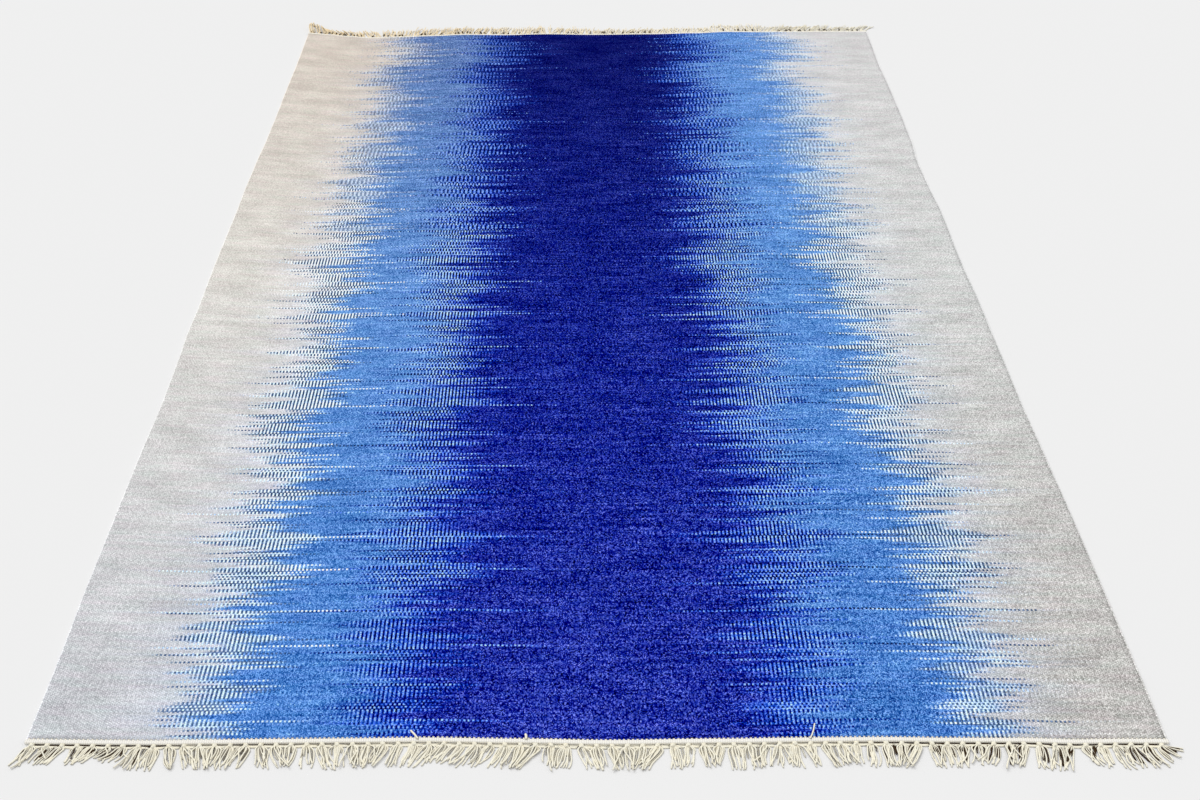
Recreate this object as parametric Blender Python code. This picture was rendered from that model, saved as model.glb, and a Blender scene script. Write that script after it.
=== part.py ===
"""Flat-woven cotton dhurrie, five by eight feet, laid flat, with a knotted warp fringe at both ends.

Metres, Z up. X runs across the rug and Y along it; the near end is at negative Y.
The underside of everything is at z = 0, and the middle of the whole outline is at the origin.
"""

import random

import bmesh
import bpy

MM = 0.001

# The woven cloth, heading bands included and fringes left out
WIDTH = 1.524
LENGTH = 2.438
THICKNESS = 4.5 * MM
SELVEDGE_ROUND = 0.9 * MM

# The undyed band woven at each end, parted from the dyed field
HEADING_DEPTH = 5.8 * MM
PARTING = 0.3 * MM

# Warp ends tied off in bunches, two locks below each knot
KNOTS = 75
KNOT_ROOT = 5.0 * MM
KNOT_WIDTH = 6.9 * MM
KNOT_HEIGHT = 5.6 * MM
KNOT_LENGTH = 6.4 * MM
LOCK_ROOT = 2.7 * MM
LOCK_PARTING = 0.9 * MM
LOCK_HEIGHT = 3.0 * MM
LOCK_GAP = 0.7 * MM

# How a lock changes on its way out from the heading
LOCK_RINGS = (
    # distance from the heading edge mm, width mm, height mm
    (14.0, 4.1, 2.8),
    (22.0, 4.4, 2.6),
)
LOCK_TIP = (3.4, 2.2)  # width mm, height mm

# How far each long side stands out past a straight line
SIDE_WAVES = (
    # distance from the near end m, left side mm, right side mm
    (0.00, -0.5, 0.8),
    (0.12, -1.2, 1.4),
    (0.30, 0.6, 1.5),
    (0.45, 0.5, 1.2),
    (0.60, 0.0, -0.4),
    (0.75, -2.6, -2.6),
    (0.88, -1.0, -1.8),
    (0.97, 2.0, -1.8),
    (1.06, 0.8, -0.6),
    (1.24, 2.8, -2.7),
    (1.44, 1.8, 0.2),
    (1.55, 2.8, -3.2),
    (1.67, 1.8, -4.6),
    (1.79, -0.9, 2.2),
    (1.92, -1.8, 3.4),
    (2.06, -0.6, 3.8),
    (2.21, -1.2, 2.6),
    (2.438, 0.5, 5.8),
)

# How far each woven end stands out past a straight line
END_WAVES = (
    # fraction across, near end mm, far end mm
    (0.00, -1.2, 1.0),
    (0.04, -0.3, -10.0),
    (0.07, 0.4, -21.0),
    (0.11, 1.0, -31.0),
    (0.16, -0.4, -25.5),
    (0.22, -1.6, -17.0),
    (0.28, -2.6, -7.5),
    (0.35, -4.1, -10.0),
    (0.43, -2.0, -4.0),
    (0.51, 0.4, -8.0),
    (0.61, -2.0, -3.5),
    (0.69, -4.2, 3.5),
    (0.75, -4.9, 13.0),
    (0.81, -3.7, 10.5),
    (0.87, -3.4, 10.8),
    (0.92, -0.9, 12.0),
    (0.96, -2.0, 12.5),
    (1.00, -1.5, 14.0),
)

# Where the loose ends of neighbouring knots lie together. Knots are counted from 0 at the left,
# tips are places on the same count, and the reach is from the heading edge to the tips.
NEAR_GROUPS = (
    # first knot, last knot, tips from, tips to, reach mm
    (0, 0, -0.85, -0.35, 37.0),
    (1, 2, 0.15, 1.40, 32.0),
    (3, 4, 2.40, 3.70, 32.0),
    (5, 6, 3.75, 5.85, 30.0),
    (7, 8, 6.40, 8.30, 39.0),
    (9, 9, 9.30, 9.80, 37.0),
    (10, 10, 10.60, 10.90, 37.0),
    (11, 12, 11.40, 12.20, 38.0),
    (13, 14, 12.50, 13.90, 39.0),
    (15, 15, 15.30, 15.95, 39.0),
    (16, 17, 16.40, 17.20, 36.0),
    (18, 18, 17.70, 19.00, 38.0),
    (19, 20, 19.30, 20.65, 41.0),
    (21, 23, 21.10, 22.50, 38.0),
    (24, 24, 23.20, 23.80, 37.0),
    (25, 26, 24.40, 25.40, 38.0),
    (27, 28, 25.70, 27.60, 31.0),
    (29, 30, 27.80, 29.40, 38.0),
    (31, 31, 29.70, 31.00, 38.0),
    (32, 33, 31.25, 31.95, 41.0),
    (34, 35, 33.40, 35.20, 39.0),
    (36, 36, 36.40, 37.00, 38.0),
    (37, 37, 37.20, 37.60, 40.0),
    (38, 41, 38.40, 40.30, 39.0),
    (42, 43, 41.60, 43.10, 38.0),
    (44, 45, 44.10, 45.10, 36.0),
    (46, 48, 45.80, 48.30, 40.0),
    (49, 50, 48.40, 50.10, 39.0),
    (51, 51, 50.30, 51.70, 38.0),
    (52, 53, 52.30, 53.50, 39.0),
    (54, 54, 53.60, 54.20, 33.0),
    (55, 55, 54.60, 55.10, 40.0),
    (56, 58, 55.70, 56.90, 39.0),
    (59, 61, 58.90, 61.20, 39.0),
    (62, 63, 61.50, 62.50, 35.0),
    (64, 65, 63.40, 64.40, 38.0),
    (66, 66, 65.40, 66.10, 40.0),
    (67, 68, 66.40, 67.30, 41.0),
    (69, 70, 69.00, 70.40, 38.0),
    (71, 72, 70.50, 71.50, 40.0),
    (73, 73, 72.70, 73.60, 37.0),
    (74, 74, 74.20, 75.20, 30.0),
)
FAR_GROUPS = (
    # first knot, last knot, tips from, tips to, reach mm
    (0, 3, -0.95, 0.95, 54.0),
    (4, 5, 2.80, 4.10, 28.0),
    (6, 9, 5.20, 8.70, 38.0),
    (10, 13, 9.70, 13.30, 40.0),
    (14, 17, 14.10, 17.60, 42.0),
    (18, 21, 19.10, 21.20, 43.0),
    (22, 26, 23.20, 26.10, 43.0),
    (27, 29, 27.20, 29.40, 39.0),
    (30, 31, 30.00, 31.00, 44.0),
    (32, 37, 32.10, 37.40, 39.0),
    (38, 43, 37.80, 44.00, 36.0),
    (44, 49, 44.20, 49.50, 38.0),
    (50, 53, 50.20, 52.50, 34.0),
    (54, 60, 53.90, 60.30, 42.0),
    (61, 64, 62.20, 65.90, 34.0),
    (65, 69, 66.20, 69.80, 38.0),
    (70, 74, 71.10, 75.60, 32.0),
)

FIELD_COLOUR = (0.055, 0.120, 0.520, 1.0)
COTTON_COLOUR = (0.800, 0.750, 0.630, 1.0)
CLOTH_ROUGHNESS = 0.9


def at(table, station, column):
    """The table's value at a station, eased from one row to the next."""
    if station <= table[0][0]:
        return table[0][column]
    for row, later in zip(table, table[1:]):
        if station <= later[0]:
            share = (station - row[0]) / (later[0] - row[0])
            share = share * share * (3.0 - 2.0 * share)
            return row[column] + share * (later[column] - row[column])
    return table[-1][column]


def side_x(y, side):
    """Where the left (-1) or right (1) edge of the cloth is at this y."""
    wave = at(SIDE_WAVES, y + LENGTH / 2, 1 if side < 0 else 2) * MM
    return side * (WIDTH / 2 + wave)


def end_y(fraction, end, depth=0.0):
    """Where the near (-1) or far (1) end of the cloth is, less a depth taken inward."""
    wave = at(END_WAVES, fraction, 1 if end < 0 else 2) * MM
    return end * (LENGTH / 2 + wave - depth)


def across(fraction, end):
    """The x of a place on an end edge, by its fraction across."""
    left = side_x(end_y(0.0, end), -1)
    right = side_x(end_y(1.0, end), 1)
    return left + fraction * (right - left)


def new_object(name, build, material):
    """One object whose mesh is made by build(bm), with all faces turned outward."""
    bm = bmesh.new()
    build(bm)
    bmesh.ops.recalc_face_normals(bm, faces=bm.faces)
    mesh = bpy.data.meshes.new(name)
    bm.to_mesh(mesh)
    bm.free()
    mesh.materials.append(material)
    obj = bpy.data.objects.new(name, mesh)
    bpy.context.scene.collection.objects.link(obj)
    return obj


def cloth_material(name, colour):
    material = bpy.data.materials.new(name)
    material.use_nodes = True
    shader = material.node_tree.nodes["Principled BSDF"]
    shader.inputs["Base Color"].default_value = colour
    shader.inputs["Roughness"].default_value = CLOTH_ROUGHNESS
    return material


def build_field(bm):
    """The dyed cloth: rounded selvedges at both sides, a plain upright cut at both ends."""
    inner = HEADING_DEPTH + PARTING
    profile = (
        # inset from the edge, height
        (SELVEDGE_ROUND, 0.0),
        (0.0, 0.31 * THICKNESS),
        (0.0, 0.69 * THICKNESS),
        (SELVEDGE_ROUND, THICKNESS),
    )
    rows = [row[0] - LENGTH / 2 for row in SIDE_WAVES[1:-1]]
    middles = [(a + b) / 2 for a, b in zip(rows, rows[1:])]
    stations = sorted(rows + middles)

    def side_rim(side):
        """Profile points down one side, from the near end to the far end."""
        edge = 0.0 if side < 0 else 1.0
        ys = [end_y(edge, -1, inner), *stations, end_y(edge, 1, inner)]
        return [
            [bm.verts.new((side_x(y, side) - side * inset, y, z)) for inset, z in profile]
            for y in ys
        ]

    left = side_rim(-1)
    right = side_rim(1)
    for rim in (left, right):
        for here, there in zip(rim, rim[1:]):
            for k in range(len(profile) - 1):
                bm.faces.new((here[k], here[k + 1], there[k + 1], there[k]))
    last = len(left) - 1
    for k in range(1, last - 1):
        for level in (0, 3):
            bm.faces.new((left[k][level], left[k + 1][level], right[k + 1][level], right[k][level]))
    for end, outer, second in ((-1, 0, 1), (1, last, last - 1)):
        edges = {}
        for level, z in ((0, 0.0), (3, THICKNESS)):
            inside = [
                bm.verts.new((across(k / KNOTS, end), end_y(k / KNOTS, end, inner), z))
                for k in range(1, KNOTS)
            ]
            edges[level] = [left[outer][level], *inside, right[outer][level]]
            bm.faces.new((*edges[level], right[second][level], left[second][level]))
        low, high = edges[0], edges[3]
        bm.faces.new((low[0], low[1], high[1], high[0], left[outer][2], left[outer][1]))
        bm.faces.new((low[-2], low[-1], right[outer][1], right[outer][2], high[-1], high[-2]))
        for k in range(1, KNOTS - 1):
            bm.faces.new((low[k], low[k + 1], high[k + 1], high[k]))


def spread_apart(places, least):
    """Moves neighbours apart until each step is at least its own least distance."""
    for _ in range(400):
        settled = True
        for k, gap in enumerate(least):
            short = gap - (places[k + 1] - places[k])
            if short > 1e-7:
                places[k] -= short / 2
                places[k + 1] += short / 2
                settled = False
        if settled:
            return


def lock_paths(end, groups, seed):
    """For each lock the x of its centre at every ring and at the tip, and the tip's reach."""
    rng = random.Random(seed)
    offset = (LOCK_ROOT + LOCK_PARTING) / 2
    roots = []
    bases = []
    leans = []
    reaches = []
    for first, last, tips_from, tips_to, reach in groups:
        locks = 2 * (last - first + 1)
        for i in range(locks):
            middle = (first + i // 2 + 0.5) / KNOTS
            root = across(middle, end) + (offset if i % 2 else -offset)
            tip = tips_from + (tips_to - tips_from) * (i + 0.5) / locks
            roots.append(root)
            bases.append(end_y(middle, end))
            leans.append(across((tip + 0.5) / KNOTS, end) - root)
            reaches.append((reach + rng.uniform(-2.5, 2.5)) * MM)
    longest = max(reaches)
    levels = [ring[0] * MM for ring in LOCK_RINGS] + [longest]
    widths = [ring[1] * MM for ring in LOCK_RINGS] + [LOCK_RINGS[-1][1] * MM]
    paths = [[] for _ in roots]
    for level, width in zip(levels, widths):
        places = [
            root + lean * ((level - KNOT_LENGTH) / (reach - KNOT_LENGTH)) ** 1.1
            for root, lean, reach in zip(roots, leans, reaches)
        ]
        least = [width + LOCK_GAP + abs(b - a) for a, b in zip(bases, bases[1:])]
        spread_apart(places, least)
        for path, place in zip(paths, places):
            path.append(place)
    for path, reach in zip(paths, reaches):
        share = (reach - levels[-2]) / (longest - levels[-2])
        path[-1] = path[-2] + share * (path[-1] - path[-2])
    return paths, reaches


def build_fringe(end, groups, seed):
    """A heading strip with its knots and locks, all grown from the strip's outer face."""

    def build(bm):
        paths, reaches = lock_paths(end, groups, seed)

        def point(x, base, out, z):
            return bm.verts.new((x, base + end * out, z))

        def tube(ring, later):
            """Walls between two four-cornered rings."""
            for k in range(4):
                bm.faces.new((ring[k], ring[(k + 1) % 4], later[(k + 1) % 4], later[k]))

        def ring_of(x, width, base, out, height):
            left, right = x - width / 2, x + width / 2
            return [
                point(left, base, out, 0.0),
                point(right, base, out, 0.0),
                point(right, base, out, height),
                point(left, base, out, height),
            ]

        def pair(fraction, depth):
            """Lower and upper corner at a fraction across, this deep into the cloth."""
            x, y = across(fraction, end), end_y(fraction, end, depth)
            return [bm.verts.new((x, y, 0.0)), bm.verts.new((x, y, THICKNESS))]

        back = [pair(k / KNOTS, HEADING_DEPTH) for k in range(KNOTS + 1)]
        front = [pair(k / KNOTS, 0.0) for k in range(KNOTS + 1)]
        for edge in (0, KNOTS):
            bm.faces.new((back[edge][0], back[edge][1], front[edge][1], front[edge][0]))
        for k in range(KNOTS):
            middle = (k + 0.5) / KNOTS
            centre, base = across(middle, end), end_y(middle, end)
            root = ring_of(centre, KNOT_ROOT, base, 0.0, THICKNESS)
            here, there = front[k], front[k + 1]
            bm.faces.new((back[k][0], back[k + 1][0], there[0], root[1], root[0], here[0]))
            bm.faces.new((back[k][1], back[k + 1][1], there[1], root[2], root[3], here[1]))
            bm.faces.new((back[k][0], back[k + 1][0], back[k + 1][1], back[k][1]))
            bm.faces.new((here[0], root[0], root[3], here[1]))
            bm.faces.new((root[1], there[0], there[1], root[2]))

            bulge = ring_of(centre, KNOT_WIDTH, base, 0.45 * KNOT_LENGTH, KNOT_HEIGHT)
            tube(root, bulge)
            shift = (LOCK_ROOT + LOCK_PARTING) / 2
            locks = [
                ring_of(centre + side * shift, LOCK_ROOT, base, KNOT_LENGTH, LOCK_HEIGHT)
                for side in (-1, 1)
            ]
            first, second = locks
            bm.faces.new((bulge[0], bulge[1], second[1], second[0], first[1], first[0]))
            bm.faces.new((bulge[3], bulge[2], second[2], second[3], first[2], first[3]))
            bm.faces.new((bulge[0], bulge[3], first[3], first[0]))
            bm.faces.new((bulge[1], bulge[2], second[2], second[1]))
            bm.faces.new((first[1], second[0], second[3], first[2]))

            for side, ring in enumerate(locks):
                path, reach = paths[2 * k + side], reaches[2 * k + side]
                for x, (out, width, height) in zip(path, LOCK_RINGS):
                    later = ring_of(x, width * MM, base, out * MM, height * MM)
                    tube(ring, later)
                    ring = later
                tip = ring_of(path[-1], LOCK_TIP[0] * MM, base, reach, LOCK_TIP[1] * MM)
                tube(ring, tip)
                bm.faces.new(tip)

    return build


def middle_of(objects):
    """The middle, in x and y, of the box round all these objects."""
    corners = [v.co for obj in objects for v in obj.data.vertices]
    xs = [c.x for c in corners]
    ys = [c.y for c in corners]
    return (min(xs) + max(xs)) / 2, (min(ys) + max(ys)) / 2


for startup in list(bpy.data.objects):
    bpy.data.objects.remove(startup)

dyed_weft = cloth_material("dyed_weft_cotton", FIELD_COLOUR)
natural_warp = cloth_material("natural_warp_cotton", COTTON_COLOUR)

pieces = [
    new_object("woven_field", build_field, dyed_weft),
    new_object("fringe_near", build_fringe(-1, NEAR_GROUPS, 11), natural_warp),
    new_object("fringe_far", build_fringe(1, FAR_GROUPS, 29), natural_warp),
]

middle_x, middle_y = middle_of(pieces)
for piece in pieces:
    for vertex in piece.data.vertices:
        vertex.co.x -= middle_x
        vertex.co.y -= middle_y
    piece.data.update()
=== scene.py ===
"""A flat-woven cotton dhurrie laid flat: feathered blue stripes, plain headings, knotted fringes.

Metres, Z up, in the frame of the part. The cloth is worked out about its own middle, and every
piece is then moved back by MIDDLE, so that it lies where the part's solids lie.
"""

import math
import random

import bpy
import numpy as np
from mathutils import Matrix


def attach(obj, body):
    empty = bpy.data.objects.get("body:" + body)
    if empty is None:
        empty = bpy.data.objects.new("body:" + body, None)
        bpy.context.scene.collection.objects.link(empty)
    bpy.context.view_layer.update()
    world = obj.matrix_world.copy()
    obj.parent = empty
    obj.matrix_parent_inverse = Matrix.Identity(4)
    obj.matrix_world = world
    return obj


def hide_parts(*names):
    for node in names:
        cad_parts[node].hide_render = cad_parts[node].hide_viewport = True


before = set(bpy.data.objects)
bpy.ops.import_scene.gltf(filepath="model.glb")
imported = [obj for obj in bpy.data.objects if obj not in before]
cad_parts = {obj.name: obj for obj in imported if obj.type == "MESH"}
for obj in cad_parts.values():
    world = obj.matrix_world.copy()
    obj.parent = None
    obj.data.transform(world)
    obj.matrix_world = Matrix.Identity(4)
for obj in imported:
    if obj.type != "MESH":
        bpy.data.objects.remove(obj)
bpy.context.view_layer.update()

MM = 0.001

# The cloth, with the same sizes as the solids. The depth of a heading takes in the narrow parting
# that its solid has from the field; here the dyed cloth runs in under the heading by the lap.
WIDTH = 1.524
LENGTH = 2.438
THICKNESS = 4.5 * MM
HEADING_DEPTH = 6.1 * MM
HEADING_LAP = 0.2 * MM

# The middle of the whole outline, fringes included, from the middle of the cloth
MIDDLE = (3.386 * MM, 6.939 * MM)

# The weave: ribs of the warp beneath, and picks of the weft that cover it
WARP_ENDS = 503
WARP_PITCH = 3.03 * MM
DYED_PICKS = 1386
PICK_PITCH = 1.75 * MM

# The power that turns display values into light
DISPLAY_GAMMA = 2.2

# The fringe: the level is that of a knot's middle, and a far knot's strands draw into locks
KNOTS = 75
KNOT_LENGTH = 6.2 * MM
KNOT_LEVEL = 2.4 * MM
LOCKS = 3
STRAND_RADIUS = 1.04 * MM
FLOOR_GAP = 0.05 * MM

# How far each long side stands out past a straight line
SIDE_WAVES = (
    # distance from the near end m, left side mm, right side mm
    (0.00, -0.5, 0.8),
    (0.12, -1.2, 1.4),
    (0.30, 0.6, 1.5),
    (0.45, 0.5, 1.2),
    (0.60, 0.0, -0.4),
    (0.75, -2.6, -2.6),
    (0.88, -1.0, -1.8),
    (0.97, 2.0, -1.8),
    (1.06, 0.8, -0.6),
    (1.24, 2.8, -2.7),
    (1.44, 1.8, 0.2),
    (1.55, 2.8, -3.2),
    (1.67, 1.8, -4.6),
    (1.79, -0.9, 2.2),
    (1.92, -1.8, 3.4),
    (2.06, -0.6, 3.8),
    (2.21, -1.2, 2.6),
    (2.438, 0.5, 5.8),
)

# How far each woven end stands out past a straight line
END_WAVES = (
    # fraction across, near end mm, far end mm
    (0.00, -1.2, 1.0),
    (0.04, -0.3, -10.0),
    (0.07, 0.4, -21.0),
    (0.11, 1.0, -31.0),
    (0.16, -0.4, -25.5),
    (0.22, -1.6, -17.0),
    (0.28, -2.6, -7.5),
    (0.35, -4.1, -10.0),
    (0.43, -2.0, -4.0),
    (0.51, 0.4, -8.0),
    (0.61, -2.0, -3.5),
    (0.69, -4.2, 3.5),
    (0.75, -4.9, 13.0),
    (0.81, -3.7, 10.5),
    (0.87, -3.4, 10.8),
    (0.92, -0.9, 12.0),
    (0.96, -2.0, 12.5),
    (1.00, -1.5, 14.0),
)

# Where the strands of neighbouring knots lie together. Knots count from 0 at the left, tips are
# places on the same count, and the reach is from the heading edge to the tips. A second reach
# is that of the last tip, where it isn't that of the first.
NEAR_GROUPS = (
    # first knot, last knot, tips from, tips to, reach mm
    (0, 0, -0.95, -0.35, 36.0),
    (1, 2, 0.15, 1.40, 31.0),
    (3, 4, 2.40, 3.70, 31.0),
    (5, 6, 3.75, 5.85, 27.0),
    (7, 8, 6.40, 8.30, 39.0),
    (9, 9, 9.30, 9.60, 37.0),
    (10, 10, 10.35, 10.90, 37.0),
    (11, 12, 11.10, 12.20, 38.0),
    (13, 14, 12.30, 13.90, 39.0),
    (15, 15, 15.10, 15.75, 39.0),
    (16, 17, 16.30, 17.20, 36.0),
    (18, 18, 17.70, 18.60, 38.0),
    (19, 20, 19.20, 20.45, 41.0),
    (21, 23, 21.10, 22.70, 38.0),
    (24, 24, 23.30, 23.90, 37.0),
    (25, 26, 24.20, 25.50, 38.0),
    (27, 28, 25.70, 27.60, 31.0),
    (29, 30, 27.80, 29.50, 38.0),
    (31, 31, 29.80, 31.10, 38.0),
    (32, 33, 31.20, 32.00, 41.0),
    (34, 35, 33.40, 35.20, 39.0),
    (36, 36, 36.30, 36.95, 38.0),
    (37, 37, 37.10, 37.60, 40.0),
    (38, 41, 38.20, 40.30, 39.0),
    (42, 43, 41.80, 43.20, 38.0),
    (44, 45, 44.00, 45.10, 36.0),
    (46, 48, 45.70, 48.30, 40.0),
    (49, 50, 48.40, 50.50, 39.0),
    (51, 51, 51.10, 51.90, 38.0),
    (52, 53, 52.30, 53.50, 39.0),
    (54, 54, 53.60, 54.20, 33.0),
    (55, 55, 54.60, 55.30, 40.0),
    (56, 58, 55.80, 57.40, 39.0),
    (59, 61, 58.90, 61.20, 39.0),
    (62, 63, 61.50, 62.90, 35.0),
    (64, 65, 63.70, 64.70, 38.0),
    (66, 66, 65.50, 66.20, 40.0),
    (67, 68, 66.40, 67.60, 41.0),
    (69, 70, 69.20, 70.50, 37.0),
    (71, 72, 70.90, 72.70, 39.0),
    (73, 73, 72.90, 74.10, 37.0),
    (74, 74, 74.20, 75.50, 34.0, 12.0),
)
FAR_GROUPS = (
    # first knot, last knot, tips from, tips to, reach mm
    (0, 3, -0.95, 2.00, 76.0, 40.0),
    (4, 5, 2.20, 4.60, 32.0),
    (6, 9, 4.80, 8.90, 40.0),
    (10, 13, 9.10, 13.50, 42.0),
    (14, 17, 13.70, 17.80, 45.0),
    (18, 21, 18.10, 21.70, 46.0),
    (22, 26, 22.20, 26.50, 46.0),
    (27, 29, 26.80, 29.60, 42.0),
    (30, 31, 29.80, 31.30, 48.0),
    (32, 37, 31.70, 37.50, 42.0),
    (38, 43, 37.70, 44.00, 34.0),
    (44, 49, 44.10, 49.70, 35.0),
    (50, 53, 49.90, 53.20, 33.0),
    (54, 60, 53.60, 60.70, 45.0),
    (61, 64, 61.40, 65.50, 38.0),
    (65, 69, 65.80, 70.20, 41.0),
    (70, 74, 70.60, 75.60, 35.0),
)

# How dark the painted shade in the slot under the heading is from knot to knot: 0 is none, 1 and over
# is black
SLOT_PAINTED_SHADES = (
    # knot, near end, far end
    (0, 1.2, 0.9),
    (8, 1.2, 0.9),
    (10, 0.65, 0.9),
    (14, 1.0, 0.9),
    (22, 0.55, 0.75),
    (34, 0.35, 0.6),
    (40, 0.4, 0.4),
    (52, 0.6, 0.35),
    (57, 1.3, 0.5),
    (74, 1.5, 0.9),
)

# The five stripes, from left to right, and the blue bloom in each pale one beside the blue, as
# # the dye looks near, half way and far; the change from near to far is partly the dye's own and
# # partly painted light, the light changing along the rug
STRIPES = (
    # place in the order, near, half way, far
    (0.00, "#cbcdd2", "#dcd9d3", "#d6ccc1"),
    (0.04, "#ccd3e2", "#dbdbe2", "#d1cac7"),
    (0.25, "#4a81d0", "#6091d5", "#5c7bb4"),
    (0.50, "#061a98", "#02107e", "#030b64"),
    (0.75, "#467ccb", "#5a8fd6", "#5e8ed4"),
    (0.96, "#c6ccd8", "#d0d6de", "#d4d6dd"),
    (1.00, "#c0bebb", "#d2d3d2", "#d5d4d4"),
)

# Where one dye gives way to the next
STRIPE_EDGES = (
    # fraction across, place in the order of the stripes
    (0.078, 0.00),
    (0.1485, 0.04),
    (0.1635, 0.25),
    (0.2955, 0.25),
    (0.3415, 0.50),
    (0.6655, 0.50),
    (0.7115, 0.75),
    (0.8445, 0.75),
    (0.8595, 0.96),
    (0.934, 1.00),
)


def at(table, station, column):
    """The table's value at a station, eased from one row to the next."""
    if station <= table[0][0]:
        return table[0][column]
    for row, later in zip(table, table[1:]):
        if station <= later[0]:
            share = (station - row[0]) / (later[0] - row[0])
            share = share * share * (3.0 - 2.0 * share)
            return row[column] + share * (later[column] - row[column])
    return table[-1][column]


def side_x(y, side):
    """Where the left (-1) or right (1) edge of the cloth is at this y."""
    wave = at(SIDE_WAVES, y + LENGTH / 2, 1 if side < 0 else 2) * MM
    return side * (WIDTH / 2 + wave)


def end_y(fraction, end, depth=0.0):
    """Where the near (-1) or far (1) end of the cloth is, less a depth taken inward."""
    wave = at(END_WAVES, fraction, 1 if end < 0 else 2) * MM
    return end * (LENGTH / 2 + wave - depth)


def across(fraction, end):
    """The x of a place on an end edge, by its fraction across."""
    left = side_x(end_y(0.0, end), -1)
    right = side_x(end_y(1.0, end), 1)
    return left + fraction * (right - left)


def linear(hex_colour, alpha=1.0):
    """An sRGB hex colour as linear red, green, blue and alpha."""
    values = [int(hex_colour[i : i + 2], 16) / 255 for i in (1, 3, 5)]
    return (*((v / 12.92 if v <= 0.04045 else ((v + 0.055) / 1.055) ** 2.4) for v in values), alpha)


def shown(hex_colour):
    """An sRGB hex colour as display values, in which shades mix as the eye sees them."""
    return (*(v ** (1 / DISPLAY_GAMMA) for v in linear(hex_colour)[:3]), 1.0)


def add_node(tree, kind, settings=None, inputs=None):
    """Adds a node with its settings; each input is a plain value or the output that feeds it."""
    node = tree.nodes.new(kind)
    for key, value in (settings or {}).items():
        setattr(node, key, value)
    for key, value in (inputs or {}).items():
        if isinstance(value, bpy.types.NodeSocket):
            tree.links.new(value, node.inputs[key])
        else:
            node.inputs[key].default_value = value
    return node


def lie(x, y):
    """How the cloth lies on the floor: the slight unevenness of its upper face."""
    broad_rise, small_rise = 0.35 * MM, 0.12 * MM
    broad = np.sin(x * 9.1 + 1.3 * np.sin(y * 4.3)) * np.sin(y * 7.7 + 0.8)
    small = np.sin(x * 23.0 + 2.1) * np.sin(y * 31.0 + 1.7 * np.sin(x * 5.0))
    return broad_rise * broad + small_rise * small


def float_height(ends, picks):
    """Height 0..1 of the weft over its warp: rounded ribs, cut into floats two picks long."""
    odd = np.mod(np.floor(ends), 2)
    rib = np.sqrt(np.clip(1 - (2 * np.mod(ends, 1) - 1) ** 2, 0, 1))
    along = 1 - (2 * np.mod(picks / 2 + odd / 2, 1) - 1) ** 4
    return rib * along


def make_piece(name, points, faces, material, threads=None, painted_shade=None):
    """A mesh piece. Threads are its thread counts, painted_shade how far painted shade darkens each
    point.
    """
    points = np.asarray(points, dtype=float) - np.array([*MIDDLE, 0.0])
    mesh = bpy.data.meshes.new(name)
    mesh.from_pydata(points.tolist(), [], [list(map(int, face)) for face in faces])
    mesh.polygons.foreach_set("use_smooth", [True] * len(mesh.polygons))
    if threads is not None:
        corners = np.empty(len(mesh.loops), dtype=np.int32)
        mesh.loops.foreach_get("vertex_index", corners)
        layer = mesh.uv_layers.new(name="threads")
        layer.data.foreach_set("uv", np.asarray(threads, dtype=float)[corners].ravel())
    if painted_shade is not None:
        layer = mesh.attributes.new("painted_shade", "FLOAT", "POINT")
        layer.data.foreach_set("value", np.asarray(painted_shade, dtype=float))
    mesh.materials.append(material)
    mesh.update()
    piece = bpy.data.objects.new(name, mesh)
    bpy.context.scene.collection.objects.link(piece)
    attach(piece, "root")
    return piece


def grid_faces(rows, columns, first=0):
    """Quads of a grid whose points are counted row by row."""
    here = first + np.arange(rows - 1)[:, None] * columns + np.arange(columns - 1)[None, :]
    here = here.ravel()
    return np.stack([here, here + 1, here + columns + 1, here + columns], axis=1).tolist()


def cloth_end(fraction, end):
    """Where the dyed cloth stops, a little way in under the heading."""
    return end_y(fraction, end, HEADING_DEPTH - HEADING_LAP)


def tube_faces(first, rings, sides):
    """Quads of a tube whose points are counted ring by ring."""
    faces = []
    for i in range(rings - 1):
        a, b = first + i * sides, first + (i + 1) * sides
        for k in range(sides):
            after = (k + 1) % sides
            faces.append((a + k, a + after, b + after, b + k))
    return faces


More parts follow.
